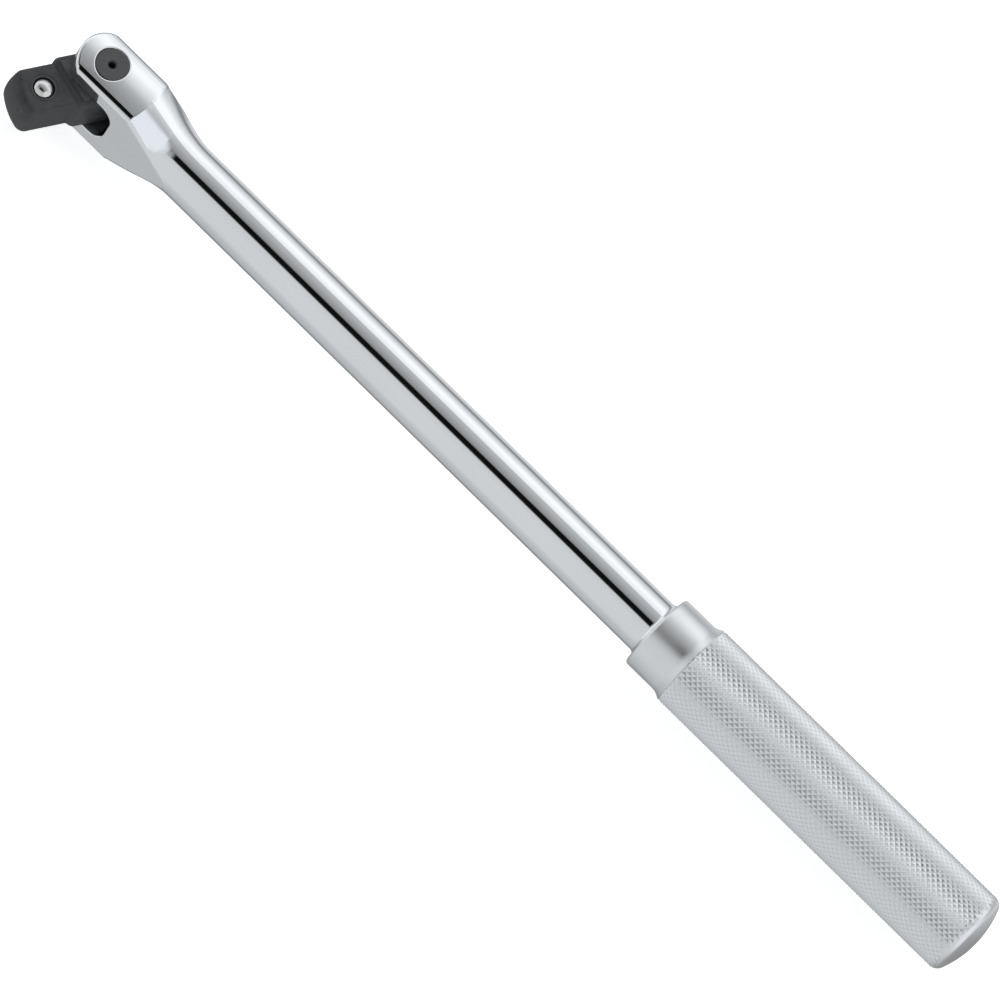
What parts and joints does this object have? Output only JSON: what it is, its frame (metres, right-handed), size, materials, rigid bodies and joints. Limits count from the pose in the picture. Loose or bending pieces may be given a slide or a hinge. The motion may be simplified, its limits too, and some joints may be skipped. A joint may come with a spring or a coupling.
{
  "type": "breaker bar",
  "caption": "Long-handled steel breaker bar with a knurled grip and a hinged square drive head that carries a spring-loaded detent ball.",
  "frame": {"origin": "on the bar's axis, at the middle of the grip's full-diameter length", "axes": "+X along the bar towards the grip's rear end, +Z along the hinge pin, and the drive head is stored swung to the -Y side"},
  "size_m": [0.3322, 0.0359, 0.0282],
  "materials": {
    "polished_chrome": "mirror-polished chrome plate",
    "satin_chrome": "bead-blasted satin chrome plate",
    "black_steel": "matte black phosphate on forged steel",
    "bright_steel": "bright ground bearing steel",
    "spring_steel": "drawn spring wire"
  },
  "bodies": {
    "handle": {"shank": "polished_chrome", "hinge_pin": "black_steel", "friction_spring": "spring_steel", "grip_sleeve": "satin_chrome", "grip_end_plug": "satin_chrome"},
    "head": {"drive_head": "black_steel", "drive_ball_spring": "spring_steel"},
    "ball": {"drive_ball": "bright_steel"},
    "plunger": {"friction_plunger": "bright_steel"}
  },
  "joints": [
    {"name": "head_swing", "type": "hinge", "parent": "handle", "child": "head", "pos_m": [-0.26212, 0, 0], "axis": [0, 0, 1], "range_deg": [-151, 29]},
    {"name": "ball_press", "type": "slide", "parent": "head", "child": "ball", "axis": [0, 0, -1], "range_m": [0, 0.0013], "stiffness_N_per_m": 400, "springref_m": -0.001, "deforming": ["drive_ball_spring"]},
    {"name": "plunger_press", "type": "slide", "parent": "handle", "child": "plunger", "axis": [1, 0, 0], "range_m": [0, 0.0008], "stiffness_N_per_m": 400, "springref_m": -0.001, "deforming": ["friction_spring"]}
  ]
}
